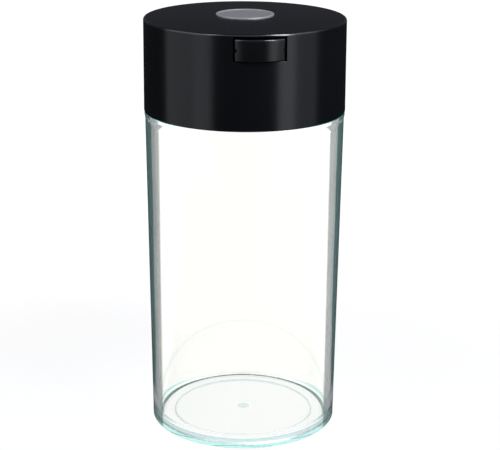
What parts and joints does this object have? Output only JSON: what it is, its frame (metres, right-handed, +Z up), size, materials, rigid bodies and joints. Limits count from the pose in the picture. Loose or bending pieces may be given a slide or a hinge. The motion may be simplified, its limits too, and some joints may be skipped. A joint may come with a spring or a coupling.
{
  "type": "vacuum seal canister",
  "caption": "Round clear canister with a deep black lift-off cap; a push button in the cap's side opens a sprung vent valve so the cap can be pressed down or pulled off.",
  "frame": {"origin": "centre of the canister's foot, on the surface that it stands on", "axes": "+Z up along the canister's axis, -Y towards the push button in the cap's side"},
  "size_m": [0.1024, 0.1043, 0.2159],
  "materials": {
    "clear_plastic": "clear, polished, faint aqua at the edges",
    "silicone_seal": "matt silicone",
    "cap_black": "satin moulded black",
    "liner_black": "satin moulded black",
    "button_black": "smooth moulded black",
    "plunger_plastic": "natural moulded plastic",
    "silicone_plug": "matt silicone",
    "spring_steel": "drawn spring wire",
    "badge_silver": "brushed disc, bare of any marking",
    "adhesive": "foam adhesive"
  },
  "bodies": {
    "canister": {"canister_body": "clear_plastic", "neck_seal": "silicone_seal"},
    "cap": {"cap_shell": "cap_black", "cap_liner": "liner_black", "badge_plate": "badge_silver", "badge_adhesive": "adhesive", "valve_spring": "spring_steel", "button_spring_left": "spring_steel", "button_spring_right": "spring_steel"},
    "button": {"press_button": "button_black"},
    "valve": {"valve_plunger": "plunger_plastic", "valve_plug": "silicone_plug"}
  },
  "joints": [
    {"name": "cap_lift", "type": "slide", "parent": "canister", "child": "cap", "axis": [0, 0, 1], "range_m": [0, 0.07]},
    {"name": "button_press", "type": "slide", "parent": "cap", "child": "button", "axis": [0, 1, 0], "range_m": [0, 0.0022], "stiffness_N_per_m": 1300, "springref_m": -0.001, "deforming": ["button_spring_left", "button_spring_right"]},
    {"name": "valve_lift", "type": "slide", "parent": "cap", "child": "valve", "axis": [0, 0, 1], "range_m": [0, 0.0022], "deforming": ["valve_spring"]}
  ],
  "couplings": [
    {"joint": "valve_lift", "follows": "button_press", "ratio": 1}
  ]
}
